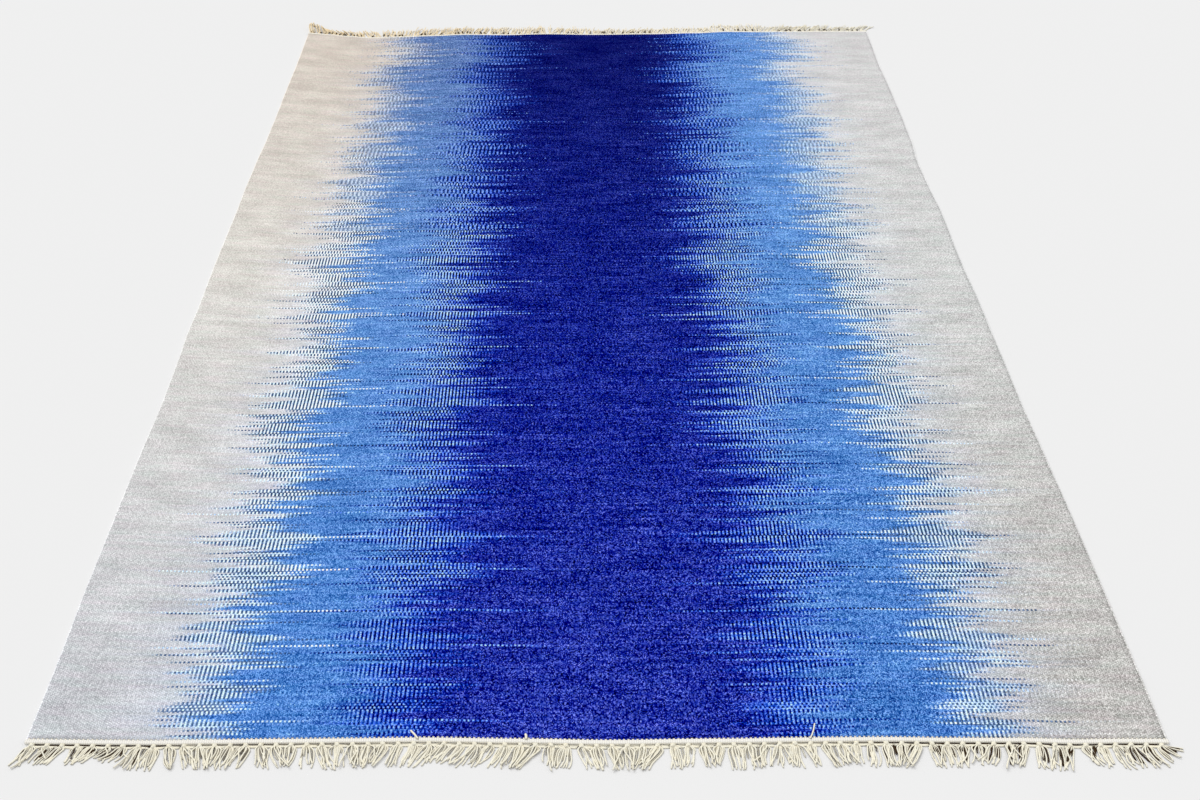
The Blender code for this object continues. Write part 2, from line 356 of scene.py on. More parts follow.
def woven_field(material):
    """The dyed cloth between the headings, its upper face a fine grid, its underside flat.

    It stops a little short of each side, where the selvedge covers it.
    """
    columns, rows = 201, 331
    tuck, past_ends = 1.5 * MM, 50 * MM
    shares = np.linspace(0.0, 1.0, columns)
    near = np.array([cloth_end(u, -1) for u in shares])
    far = np.array([cloth_end(u, 1) for u in shares])
    stations = np.linspace(-LENGTH / 2 - past_ends, LENGTH / 2 + past_ends, 2600)
    sides = [np.array([side_x(y, side) for y in stations]) for side in (-1, 1)]
    along = np.linspace(0.0, 1.0, rows)[:, None]
    y = near + along * (far - near)
    left = np.interp(y, stations, sides[0]) + tuck
    right = np.interp(y, stations, sides[1]) - tuck
    x = left + shares * (right - left)
    top = np.stack([x, y, THICKNESS + lie(x, y)], axis=-1).reshape(-1, 3)
    inset = tuck / WARP_PITCH
    ends = np.broadcast_to(inset + shares * (WARP_ENDS - 2 * inset), x.shape)
    picks = np.broadcast_to(along * DYED_PICKS, x.shape)
    threads = np.stack([ends, picks], axis=-1).reshape(-1, 2)
    rim = (
        [(0, j) for j in range(columns)]
        + [(i, columns - 1) for i in range(1, rows)]
        + [(rows - 1, j) for j in range(columns - 2, -1, -1)]
        + [(i, 0) for i in range(rows - 2, 0, -1)]
    )
    rim = [i * columns + j for i, j in rim]
    low = top[rim].copy()
    low[:, 2] = 0.0
    count, size = len(top), len(rim)
    faces = grid_faces(rows, columns)
    for k in range(size):
        after = (k + 1) % size
        faces.append((rim[after], rim[k], count + k, count + after))
    faces.append(list(range(count + size - 1, count - 1, -1)))
    return make_piece(
        "woven_cloth",
        np.vstack([top, low]),
        faces,
        material,
        np.vstack([threads, threads[rim]]),
    )


def selvedge(side, material):
    """The rolled edge where the weft turns back round the outermost warp ends.

    It is pinched in a little at each turn of the weft.
    """
    sides, rings_a_turn, pinch = 10, 4, 0.10
    half_width, half_height = 2.1 * MM, 2.38 * MM
    fraction = 0.0 if side < 0 else 1.0
    near, far = cloth_end(fraction, -1), cloth_end(fraction, 1)
    turns = int((far - near) / (2 * PICK_PITCH))
    rings = turns * rings_a_turn + 1
    y = np.linspace(near, far, rings)
    edge = np.array([side_x(v, side) for v in y])
    swell = 1.0 - pinch * np.abs(np.cos(np.linspace(0, math.pi * turns, rings)))
    angles = np.linspace(0, 2 * math.pi, sides, endpoint=False)
    x = edge[:, None] - side * half_width + half_width * swell[:, None] * np.cos(angles)
    z = half_height + half_height * swell[:, None] * np.sin(angles)
    points = np.stack([x, np.broadcast_to(y[:, None], x.shape), z], axis=-1).reshape(-1, 3)
    inset = np.abs(edge[:, None] - x) / WARP_PITCH
    ends = inset if side < 0 else WARP_ENDS - inset
    picks = np.broadcast_to(np.linspace(0, DYED_PICKS, rings)[:, None], x.shape)
    last = (rings - 1) * sides
    faces = tube_faces(0, rings, sides)
    faces.append(list(range(sides - 1, -1, -1)))
    faces.append(list(range(last, last + sides)))
    name = "selvedge_left" if side < 0 else "selvedge_right"
    return make_piece(name, points, faces, material, np.stack([ends, picks], -1).reshape(-1, 2))


def slot_painted_shades(end):
    """How dark the painted shade in the slot between each knot and the next is; the lighter ones vary
    more.
    """
    rng = random.Random(3 + end)
    column = 1 if end < 0 else 2
    depths = []
    for k in range(KNOTS - 1):
        most = at(SLOT_PAINTED_SHADES, k, column)
        depths.append(most * (1 - (1 - 0.8 * most) * rng.random() ** 0.6))
    return depths


def heading(end, name, material):
    """The undyed picks at one end, each float raised, rolled over the cloth's cut edge.

    Under the roll its colour is darkened with painted shade, most half way between two knots, and
    painted shade lies in the dips between its floats.
    """
    per_end, per_pick = 4, 3
    rise, sink = 0.55 * MM, 0.35 * MM
    roll, foot = 0.8 * MM, 1.6 * MM
    # How much painted shade lies in the dips between floats
    painted_shade_between_floats = 0.15 - 0.07 * end
    columns = WARP_ENDS * per_end + 1
    shares = np.linspace(0.0, 1.0, columns)
    edge = np.array([end_y(u, end) for u in shares])
    x = np.array([across(u, end) for u in shares])
    # Painted shade along the foot of the roll, darkest half way between two knots
    gap = np.clip(np.floor(shares * KNOTS - 0.5), 0, KNOTS - 2).astype(int)
    middling = np.sin(math.pi * np.clip(shares * KNOTS - 0.5 - gap, 0, 1))
    dark = np.array(slot_painted_shades(end))[gap] * np.clip(2.4 * middling - 0.9, 0, 1)
    deep = int(round(HEADING_DEPTH / PICK_PITCH * per_pick))
    flat = [HEADING_DEPTH * (1 - i / deep) for i in range(deep)]
    rows = [(depth, 1.0, 0.0) for depth in flat if depth > roll]
    rows += [
        # depth, height as a share of the top's, painted shade
        (0.35 * MM, 0.93, 0.0),
        (0.0, 0.72, 0.0),
        (0.0, 0.34, 0.05),
        (0.3 * MM, 0.17, 1.0),
        (foot, 0.04, 1.0),
    ]
    ends = shares * WARP_ENDS
    points, threads, painted_shades = [], [], []
    for depth, share, painted_shade in rows:
        picks = np.full(columns, -(HEADING_DEPTH - depth) / PICK_PITCH)
        raised = float_height(ends, picks)
        level = np.maximum(share * (THICKNESS + rise * raised - sink), 0.0)
        points.append(np.stack([x, edge - end * depth, level], -1))
        threads.append(np.stack([ends, picks], -1))
        painted_shades.append(np.maximum(painted_shade * dark, painted_shade_between_floats * (1 - raised) ** 1.5))
    # The rows at floor level are wholly in painted shade
    for depth in (foot, HEADING_DEPTH):
        points.append(np.stack([x, edge - end * depth, np.zeros(columns)], -1))
        painted_shades.append(np.ones(columns))
    threads += [threads[-1], threads[0]]
    count = len(rows)
    base = count * columns
    faces = grid_faces(count, columns) + grid_faces(2, columns, base)
    for j in range(columns - 1):
        a = base - columns + j
        faces.append((a, a + 1, base + j + 1, base + j))
        faces.append((j + 1, j, base + columns + j, base + columns + j + 1))
    if end > 0:
        faces = [face[::-1] for face in faces]
    points, threads, painted_shades = (np.concatenate(part) for part in (points, threads, painted_shades))
    return make_piece(name, points, faces, material, threads, painted_shades)


def start_yarn():
    """An empty bundle that threads are added to."""
    return {"points": [], "faces": [], "threads": [], "painted_shade": []}


def add_rings(yarn, rings, turns, lengths, painted_shade):
    """Adds rings of points to the bundle, all above the floor; returns the first one's number."""
    first = sum(len(part) for part in yarn["points"])
    points = rings.reshape(-1, 3)
    points[:, 2] = np.maximum(points[:, 2], FLOOR_GAP)
    yarn["points"].append(points)
    yarn["threads"].append(np.stack(np.broadcast_arrays(turns, lengths), -1).reshape(-1, 2))
    yarn["painted_shade"].append(painted_shade.reshape(-1))
    return first


def lay_thread(yarn, path, radius, sides=8, depth=0.0, blunt=1.0, lit=0.45):
    """Adds one round thread along a path, darkened with painted shade on its side up to the height
    lit, -1 to 1.

    Depth is painted shade over all of it, and blunt is the width of its tip as a share of the rest.
    """
    fades_over, steepness = 0.8, 1.3
    path = np.asarray(path, dtype=float)
    count = len(path)
    ahead = np.gradient(path, axis=0)
    ahead /= np.linalg.norm(ahead, axis=1)[:, None]
    right = np.stack([ahead[:, 1], -ahead[:, 0], np.zeros(count)], -1)
    right /= np.maximum(np.linalg.norm(right, axis=1), 1e-6)[:, None]
    over = np.cross(right, ahead)
    angles = (np.arange(sides) + 0.5) * 2 * math.pi / sides
    radii = np.full(count, radius)
    radii[-1] *= blunt
    rings = (
        path[:, None, :]
        + radii[:, None, None] * np.cos(angles)[None, :, None] * right[:, None, :]
        + radii[:, None, None] * np.sin(angles)[None, :, None] * over[:, None, :]
    )
    run = np.concatenate([[0], np.cumsum(np.linalg.norm(np.diff(path, axis=0), axis=1))]) / MM
    # Painted shade: the lower side of the thread is darkened, where less light falls
    side = np.clip((lit - np.sin(angles)) / fades_over, 0, 1) ** steepness
    shade = np.maximum(np.broadcast_to(side, (count, sides)), depth)
    first = add_rings(yarn, rings, angles / (2 * math.pi), run[:, None], shade)
    last = first + (count - 1) * sides
    yarn["faces"] += [(a, d, c, b) for a, b, c, d in tube_faces(first, count, sides)]
    yarn["faces"].append([first + k for k in range(sides)])
    yarn["faces"].append([last + k for k in range(sides - 1, -1, -1)])


def finish_yarn(yarn, name, material):
    """The bundle as one piece."""
    points, threads, painted_shade = (np.concatenate(yarn[part]) for part in ("points", "threads", "painted_shade"))
    return make_piece(name, points, yarn["faces"], material, threads, painted_shade)


def knot_centre(k, end):
    """Where a knot sits on the heading's edge: its x, and the edge's y."""
    fraction = (k + 0.5) / KNOTS
    return across(fraction, end), end_y(fraction, end)


def knot_body(yarn, x, base, end, size, turn):
    """The bundled body of one knot: a barrel with ridges that wind round it."""
    rings, sides = 10, 14
    half_width, half_height = 3.1 * MM, 2.35 * MM
    start, length = -0.9 * MM, KNOT_LENGTH + 0.6 * MM
    ridges, ridge_height, winding = 3, 0.09, 5.5
    angles = (np.arange(sides) + 0.5) * 2 * math.pi / sides
    t = np.linspace(0.0, 1.0, rings)[:, None]
    swell = size * np.sin(math.pi * (0.12 + 0.76 * t)) ** 0.6
    ridge = 1 + ridge_height * np.cos(ridges * angles + turn + winding * t)
    wide = half_width * swell * ridge * np.cos(angles)
    high = half_height * swell * ridge * np.sin(angles)
    y = np.broadcast_to(base + end * (start + t * length), wide.shape)
    # Painted shade on the knot's underside and in the grooves between its ridges
    underside = np.clip((0.2 - 0.15 * end - np.sin(angles)) / 0.9, 0, 1)
    grooves = 0.25 * (1 + ridge_height - ridge) / (2 * ridge_height)
    body = np.stack([x + wide, y, KNOT_LEVEL + high], -1)
    lengths = 0.7 * np.arange(rings)[:, None]
    shade = np.maximum(underside, grooves)
    first = add_rings(yarn, body, angles / (2 * math.pi), lengths, shade)
    faces = tube_faces(first, rings, sides)
    yarn["faces"] += faces if end < 0 else [face[::-1] for face in faces]


def knots(end, name, material, seed):
    """Overhand knots drawn up against the heading: a bundled body with two cords round it."""
    rng = random.Random(seed)
    yarn = start_yarn()
    cord_radius, half_width, foot, height = 1.0 * MM, 3.0 * MM, 1.4 * MM, 2.7 * MM
    for k in range(KNOTS):
        x, base = knot_centre(k, end)
        x += rng.uniform(-0.5, 0.5) * MM
        size = rng.uniform(0.88, 1.08)
        knot_body(yarn, x, base, end, size, rng.uniform(0, 6.28))
        slant = rng.choice((-1, 1)) * rng.uniform(0.6, 1.5)
        for out in (1.6, 3.9):
            path = []
            for angle in np.linspace(-0.05 * math.pi, 1.05 * math.pi, 9):
                place = x + half_width * size * math.cos(angle)
                away = (out + slant * math.cos(angle)) * MM
                level = foot + height * size * math.sin(angle)
                path.append((place, base + end * away, level))
            lay_thread(yarn, path, cord_radius, 6)
    return finish_yarn(yarn, name, material)


def strand_path(rng, end, k, place, tip, reach, tier, bunch, loose):
    """The path of one warp end, from its place in the knot, -0.5 to 0.5, to its tip.

    The tip counts in knots. Reach and bunch, how high the strand is heaped up, are in mm. Tier
    is how many strands it lies over. Far strands also lift, by up to the share called loose.
    """
    x, base = knot_centre(k, end)
    behind, before, beyond = 3.6 * MM, 3.8 * MM, 4.6 * MM
    start = x + place * beyond
    finish = across((tip + 0.5) / KNOTS, end)
    bend = rng.uniform(0.8, 1.6)
    fan = place * rng.uniform(9.0, 20.0) * MM
    bow = rng.gauss(0, 1.5) * MM
    snake = rng.gauss(0, 0.8) * MM
    curl = rng.gauss(0, 1.6) * MM
    lift = longer = 0.0
    if end > 0:
        lift = 6.5 * rng.random() ** 4 * loose * MM
        longer = rng.uniform(0.0, 13.0) * rng.random() * MM
    leaves = 0.6 * KNOT_LENGTH
    over = tier * 1.6 * STRAND_RADIUS

    # The shares of the way out by which it has fanned out, climbed and come down, and where it
    # begins to curl
    fanned, climbed, down, curling = 0.22, 0.15, 0.25, 0.7
    path = [
        (x + place * behind, base - end * 1.0 * MM, KNOT_LEVEL),
        (x + place * before, base + end * 1.5 * MM, KNOT_LEVEL),
    ]
    for t in np.linspace(0.0, 1.0, 14):
        out = leaves + (reach * MM - leaves + longer) * t
        sway = bow * math.sin(math.pi * t) + snake * math.sin(2 * math.pi * t)
        sway += curl * max(0.0, t - curling) / (1 - curling)
        sway += fan * math.sin(math.pi / 2 * min(1.0, t / fanned)) * (1 - t) ** 0.8
        level = STRAND_RADIUS + over * min(1.0, t / climbed) * (1 - 0.25 * t)
        level += (KNOT_LEVEL - STRAND_RADIUS) * max(0.0, 1 - t / down) ** 2
        level += bunch * MM * math.sin(math.pi * t) ** 0.7 + lift * t**1.5
        path.append((start + (finish - start) * t**bend + sway, base + end * out, level))
    return path


def lay_group(yarn, rng, end, group, gather, heap):
    """Lays the warp ends below one group of knots, and returns the knot and path of each."""
    first, last, tips_from, tips_to, *reaches = group
    roots = []
    for k in range(first, last + 1):
        count = (k + 1) * WARP_ENDS // KNOTS - k * WARP_ENDS // KNOTS
        for i in range(count):
            place = (i + 0.5) / count - 0.5
            lock = (i * LOCKS // count + 0.5) / LOCKS - 0.5
            roots.append((k, place + (lock - place) * gather))
    total = len(roots)
    thick = 2 * STRAND_RADIUS
    pitch = abs(across(1.0, end) - across(0.0, end)) / KNOTS
    spacing = (tips_to - tips_from) * pitch / total
    tiers = 1 if spacing > 0.85 * thick else 2 if spacing > 0.42 * thick else 3
    laid = []
    for i, (k, place) in enumerate(roots):
        share = (i + 0.5) / total
        tip = tips_from + (tips_to - tips_from) * share + rng.uniform(-0.10, 0.10)
        reach = reaches[0] + (reaches[-1] - reaches[0]) * share + rng.uniform(-6.0, 3.0)
        tier = i % tiers
        if rng.random() < 0.12:
            tip += rng.uniform(-0.9, 0.9)
            reach += rng.uniform(-8.0, 3.0)
            tier = tiers
        bunch, loose = 0.0, 1.0
        if first == 0:
            bunch, loose = heap * (i % 5) / 4 * (1 - i / total) ** 0.65, 0.3
        path = strand_path(rng, end, k, place, tip, reach, tier, bunch, loose)
        radius = STRAND_RADIUS * rng.uniform(0.85, 1.05)
        # Near strands carry more painted shade on their flanks where the slot's painted shade is
        # darker
        lit = 0.18 * at(SLOT_PAINTED_SHADES, k, 1) if end < 0 else -0.1
        lay_thread(yarn, path, radius, 8, 0.0, 0.85, lit)
        laid.append((k, np.array(path)))
    return laid


def shade_group(under, rng, laid, slots):
    """Painted shade between neighbouring near strands: dark threads laid beneath them, where there is
    only shade.
    """
    for (k, path), (other, beside) in zip(laid, laid[1:]):
        most = slots[min(k, KNOTS - 2)]
        between = 0.5 * (path + beside)[2 : rng.randint(8, 15)]
        between[:, 2] = 1.2 * MM
        dark = max(0.5, most) * rng.uniform(0.8, 1.2) if rng.random() < 0.6 else 0.25
        radius = rng.uniform(0.7, min(1.4, 0.9 + 0.5 * most)) * MM
        lay_thread(under, between, radius, 5, min(1.0, dark), 0.15)
        if k != other and most > 0.7:
            for part in (0.15, 0.38, 0.62, 0.85):
                wedge = (path * (1 - part) + beside * part)[2 : rng.randint(4, 11)]
                wedge[:, 2] = 1.3 * MM
                dark = min(1.0, 1.5 * most - 0.6) if rng.random() < 0.5 else 0.25
                lay_thread(under, wedge, rng.uniform(0.6, 1.2) * MM, 5, dark, 0.15)


def shade_far_strands(under, rng, end):
    """Painted shade among the far strands: short dark threads laid in them near the knots, where
    there is only shade.
    """
    near_out, high, drop = 5.0 * MM, 4.6 * MM, 1.8 * MM
    for k in range(KNOTS):
        for side in (-0.5, 0.5):
            x, base = knot_centre(k, end)
            x += (side + rng.uniform(-0.3, 0.3)) * 9.0 * MM
            lean = rng.uniform(-5.0, 5.0) * MM
            far_out = rng.uniform(12.0, 24.0) * MM
            path = []
            for t in np.linspace(0.0, 1.0, 6):
                out = near_out + (far_out - near_out) * t
                path.append((x + lean * t, base + end * out, high - drop * t))
            if rng.random() < 0.75 * at(SLOT_PAINTED_SHADES, k, 2):
                radius = rng.uniform(1.2, 2.1) * MM
                lay_thread(under, path, radius, 6, rng.uniform(0.7, 1.0), 0.3)


def cross_slot(yarn, rng, k, end):
    """Two stray strands that lie across the slot between a knot and the next."""
    (x, base), (later, later_base) = knot_centre(k, end), knot_centre(k + 1, end)
    for out in (2.7, 4.3):
        from_share, to_share = rng.uniform(0.0, 0.25), rng.uniform(0.6, 1.0)
        slant = rng.uniform(-1.6, 1.6)
        path = []
        for t in np.linspace(from_share, to_share, 5):
            away = (out + slant * (t - 0.5) + 0.9 * math.sin(math.pi * t)) * MM
            y = base + t * (later_base - base) + end * away
            path.append((x + t * (later - x), y, STRAND_RADIUS))
        lay_thread(yarn, path, STRAND_RADIUS, 8, 0.0, 0.85, -0.3)


def shade_slot(under, rng, k, end, dark):
    """Painted shade in the slot between a knot and the next: two dark threads, the second shorter,
    where there is only shade.
    """
    (x, base), (later, later_base) = knot_centre(k, end), knot_centre(k + 1, end)
    for shorter in (0.0, 2.5):
        left, right = (rng.uniform(2.2, 4.0) + shorter * rng.random() for _ in range(2))
        slant = rng.uniform(-0.9, 0.9)
        start, finish = x + left * MM, later - right * MM
        path = []
        for t in np.linspace(0.0, 1.0, 7):
            away = (1.3 + slant * (t - 0.5)) * MM
            y = base + t * (later_base - base) + end * away
            path.append((start + t * (finish - start), y, 0.8 * MM))
        lay_thread(under, path, rng.uniform(0.7, 1.0) * MM, 6, dark, 0.5)


def strands(end, groups, name, material, seed, gather, heap):
    """The loose warp ends below each knot, lying in the groups that they have fallen into.

    Gather draws the ends of one knot into its locks: 0 leaves them apart, 1 shuts each lock.
    Heap is how high, in mm, the first group is bunched up.
    """
    rng = random.Random(seed)
    # The second bundle gathers the dark threads of painted shade
    yarn, under = start_yarn(), start_yarn()
    slots = slot_painted_shades(end)
    for group in groups:
        laid = lay_group(yarn, rng, end, group, gather, heap)
        if end < 0:
            shade_group(under, rng, laid, slots)
    if end > 0:
        shade_far_strands(under, rng, end)
    for k, dark in enumerate(slots):
        if end < 0:
            cross_slot(yarn, rng, k, end)
        shade_slot(under, rng, k, end, dark)
    return [
        finish_yarn(yarn, name, material),
        # The piece of painted shade threads
        finish_yarn(under, name + "_painted_shade_threads", material),
    ]


def stray_ends(material):
    """Three short ends of undyed yarn that stick out of the near heading on to the dyed cloth."""
    yarn = start_yarn()
    level, arch = THICKNESS + 1.0 * MM, 0.6 * MM
    for x, y, to_x, to_y, radius, sway in (
        # from x, y, to x, y, radius mm, sway mm
        (-0.2380, -1.2120, -0.2487, -1.1982, 1.35, 0.2),
        (-0.0936, -1.2125, -0.0942, -1.2045, 1.75, 0.3),
        (0.2855, -1.2115, 0.2955, -1.1862, 1.05, 0.9),
    ):
        path = []
        for t in np.linspace(0.0, 1.0, 9):
            bow = sway * MM * math.sin(math.pi * t * 1.3)
            place = (x + (to_x - x) * t + bow, y + (to_y - y) * t)
            path.append((*place, level + arch * math.sin(3.1 * t)))
        lay_thread(yarn, path, radius * MM, 8, 0.0, 0.9)
    return finish_yarn(yarn, "stray_ends", material)


def new_material(name):
    """A material with an empty tree but for its shader, which is returned with the tree."""
    material = bpy.data.materials.new(name)
    material.use_nodes = True
    tree = material.node_tree
    return material, tree, tree.nodes["Principled BSDF"]


def ikat_weft_cotton():
    """Cotton weft, dyed in the hank with resist ties and woven so close that it hides the warp.

    Out and home picks of the shuttle show on alternate ribs, and the dye has slipped one way on
    the one and the other way on the other, so each stripe's edge breaks into tongues of upright
    The surface is matt and ribbed every 3 mm, with painted shade between the ribs and at the float
    ends and painted light on their crowns, and speckled with painted highlights and shade on single
    floats together with the yarn's own mottle.
    """
    material, tree, shader = new_material("ikat_weft_cotton")
    counts = add_node(tree, "ShaderNodeUVMap", {"uv_map": "threads"})
    split = add_node(tree, "ShaderNodeSeparateXYZ", None, {0: counts.outputs[0]})
    known = {"ends": split.outputs[0], "picks": split.outputs[1]}

    # Which float this is: its rib and its pick, the picks of odd ribs lying between the others.
    # Names that end in _at are its places in the patterns that the dye follows.
    for name, operation, *terms in (
        ("column", "FLOOR", "ends"),
        ("odd", "FLOORED_MODULO", "column", 2.0),
        ("offset", "MULTIPLY", "odd", 0.5),
        ("pair", "MULTIPLY_ADD", "picks", 0.5, "offset"),
        ("row", "FLOOR", "pair"),
        ("double", "MULTIPLY_ADD", "row", 2.0, 1.0),
        ("pick", "SUBTRACT", "double", "odd"),
        ("along", "DIVIDE", "pick", DYED_PICKS),
        ("broad_ends", "DIVIDE", "ends", 1.5),
        ("rib_pair", "FLOOR", "broad_ends"),
        ("odd_pair", "FLOORED_MODULO", "rib_pair", 2.0),
        ("bars_a_pick", "MULTIPLY_ADD", "along", -0.05, 0.31),
        ("bar_at", "MULTIPLY_ADD", "pick", "bars_a_pick", 21.3),
        ("run_at", "MULTIPLY_ADD", "pick", 0.055, 3.7),
        ("slow_at", "MULTIPLY", "pick", 0.011),
        ("shared_at", "MULTIPLY_ADD", "pick", 1.414, 90.0),
        ("spike_at", "MULTIPLY_ADD", "pick", 2.414, 40.0),
        ("few", "DIVIDE", "pick", 3.0),
        ("few_picks", "FLOOR", "few"),
        ("half_rib", "MULTIPLY", "ends", 2.0),
        ("fibre_x", "FLOOR", "half_rib"),
        ("fibre_y", "FLOOR", "picks"),
    ):
        feeds = {i: known.get(term, term) for i, term in enumerate(terms)}
        known[name] = add_node(tree, "ShaderNodeMath", {"operation": operation}, feeds).outputs[0]
    for size in ("bar", "run"):
        cells = add_node(
            tree,
            "ShaderNodeTexVoronoi",
            {"voronoi_dimensions": "1D"},
            {"W": known[size + "_at"], "Scale": 1.0, "Randomness": 1.0},
        )
        chance = add_node(tree, "ShaderNodeSeparateColor", None, {0: cells.outputs["Color"]})
        known[size + "_off"] = cells.outputs["Distance"]
        for part, output in zip(("reach", "drift", "side"), chance.outputs):
            known[size + "_" + part] = output
    for name in ("shared", "spike"):
        noise = add_node(
            tree, "ShaderNodeTexWhiteNoise", {"noise_dimensions": "1D"}, {"W": known[name + "_at"]}
        )
        known[name] = noise.outputs["Value"]
    slow = add_node(
        tree,
        "ShaderNodeTexNoise",
        {"noise_dimensions": "1D"},
        {"W": known["slow_at"], "Scale": 1.0, "Detail": 2.0},
    )
    known["slow"] = slow.outputs[0]
    places = {}
    for name, x, y in (
        ("short_run", "column", "few_picks"),
        ("speckle", "column", "pick"),
        ("fibre", "fibre_x", "fibre_y"),
    ):
        feeds = {0: known[x], 1: known[y], 2: 0.0}
        places[name] = add_node(tree, "ShaderNodeCombineXYZ", None, feeds).outputs[0]
        noise = add_node(
            tree, "ShaderNodeTexWhiteNoise", {"noise_dimensions": "2D"}, {0: places[name]}
        )
        known[name] = noise.outputs["Value"]

    # How far this pick's dye has slipped, in millimetres, and how far its neighbours' with it.
    # The far ribs are too fine to tell apart, so there the slip is drawn over a rib and a half.
    for name, operation, *terms in (
        ("distance", "MULTIPLY_ADD", "bar_reach", 0.2, "along"),
        ("coarse", "GREATER_THAN", "distance", 0.72),
        ("odd_change", "SUBTRACT", "odd_pair", "odd"),
        ("odd_shown", "MULTIPLY_ADD", "odd_change", "coarse", "odd"),
        ("way", "MULTIPLY_ADD", "odd_shown", 2.0, -1.0),
        ("bar_turn", "GREATER_THAN", "bar_side", 0.5),
        ("run_turn", "GREATER_THAN", "run_side", 0.5),
        ("long", "GREATER_THAN", "run_drift", 0.82),
        ("turn_change", "SUBTRACT", "run_turn", "bar_turn"),
        ("turn", "MULTIPLY_ADD", "turn_change", "long", "bar_turn"),
        ("turn_way", "MULTIPLY_ADD", "turn", 2.0, -1.0),
        ("bar_shape", "MULTIPLY_ADD", "bar_off", -0.7, 1.0),
        ("bar_most", "MULTIPLY_ADD", "bar_reach", 84.0, 6.0),
        ("bar_slip", "MULTIPLY", "bar_most", "bar_shape"),
        ("bar_share", "MULTIPLY_ADD", "long", -0.6, 1.0),
        ("bar_part", "MULTIPLY", "bar_slip", "bar_share"),
        ("run_shape", "MULTIPLY_ADD", "run_off", -1.7, 1.0),
        ("run_most", "MULTIPLY", "long", 85.0),
        ("run_slip", "MULTIPLY", "run_shape", "run_most"),
        ("larger", "MAXIMUM", "bar_part", "run_slip"),
        ("spike_sharp", "POWER", "spike", 20.0),
        ("with_spike", "MULTIPLY_ADD", "spike_sharp", 90.0, "larger"),
        ("uneven", "MULTIPLY_ADD", "short_run", 0.9, -0.45),
        ("evenness", "MULTIPLY_ADD", "uneven", "along", 1.0),
        ("from_middle", "SUBTRACT", "ends", WARP_ENDS / 2),
        ("from_edge", "ABSOLUTE", "from_middle"),
        ("inner_more", "MULTIPLY_ADD", "from_edge", -0.0025, 1.37),
        ("evenness_inner", "MULTIPLY", "evenness", "inner_more"),
        ("slip_here", "MULTIPLY", "with_spike", "evenness_inner"),
        ("slip", "MULTIPLY", "slip_here", "turn_way"),
        ("shared_pick", "MULTIPLY_ADD", "shared", 44.0, -22.0),
        ("shared_bar", "MULTIPLY_ADD", "bar_drift", 56.0, -28.0),
        ("shared_slow", "MULTIPLY_ADD", "slow", 90.0, -45.0),
        ("drift_part", "ADD", "shared_pick", "shared_bar"),
        ("drift", "ADD", "drift_part", "shared_slow"),
        ("across", "MULTIPLY_ADD", "from_middle", WARP_PITCH / MM, "drift"),
        ("turned", "MULTIPLY", "slip", "way"),
        ("own_mm", "ADD", "across", "turned"),
        ("other_mm", "SUBTRACT", "across", "turned"),
        ("spread", "MULTIPLY_ADD", "picks", 0.062 / DYED_PICKS / WIDTH * MM, MM / WIDTH),
        ("own_at", "MULTIPLY_ADD", "own_mm", "spread", 0.5),
        ("other_at", "MULTIPLY_ADD", "other_mm", "spread", 0.5),
        ("to_half", "MULTIPLY_ADD", "along", 2.2, -0.06),
        ("to_far", "MULTIPLY_ADD", "along", 2.0, -0.9),
    ):
        feeds = {i: known.get(term, term) for i, term in enumerate(terms)}
        known[name] = add_node(tree, "ShaderNodeMath", {"operation": operation}, feeds).outputs[0]

    # The dye of this float and of those beside it, as display values
    dyed = {}
    for which in ("own", "other"):
        stripe = add_node(tree, "ShaderNodeValToRGB", None, {0: known[which + "_at"]})
        ramp = stripe.color_ramp
        while len(ramp.elements) < len(STRIPE_EDGES):
            ramp.elements.new(0.5)
        for element, (position, grey) in zip(ramp.elements, STRIPE_EDGES):
            element.position = position
            element.color = (grey, grey, grey, 1.0)
        lengths = []
        for column in (1, 2, 3):
            dye = add_node(tree, "ShaderNodeValToRGB", None, {0: stripe.outputs[0]})
            while len(dye.color_ramp.elements) < len(STRIPES):
                dye.color_ramp.elements.new(0.5)
            for element, row in zip(dye.color_ramp.elements, STRIPES):
                element.position = row[0]
                element.color = shown(row[column])
            lengths.append(dye.outputs[0])
        dyed[which] = lengths[0]
        for share, later in (("to_half", lengths[1]), ("to_far", lengths[2])):
            mixed = add_node(
                tree,
                "ShaderNodeMix",
                {"data_type": "RGBA", "clamp_factor": True},
                {0: known[share], 6: dyed[which], 7: later},
            )
            dyed[which] = mixed.outputs[2]
    both = add_node(
        tree, "ShaderNodeMix", {"data_type": "RGBA"}, {0: 0.5, 6: dyed["own"], 7: dyed["other"]}
    )
    for name, colour in (("own_light", dyed["own"]), ("both_light", both.outputs[2])):
        known[name] = add_node(tree, "ShaderNodeRGBToBW", None, {0: colour}).outputs[0]

    # The uneven take of the dye in streaks along the picks and in broad clouds
    for name, scales in (
        ("streak", (0.02, 0.9, 0.0)),
        ("cloud", (0.03, 0.045, 0.0)),
        ("hue", (0.06, 0.23, 0.0)),
    ):
        stretch = add_node(
            tree,
            "ShaderNodeVectorMath",
            {"operation": "MULTIPLY"},
            {0: places["speckle"], 1: scales},
        )
        noise = add_node(
            tree,
            "ShaderNodeTexNoise",
            {"noise_dimensions": "2D"},
            {"Vector": stretch.outputs[0], "Scale": 1.0, "Detail": 1.0},
        )
        known[name] = noise.outputs[0]

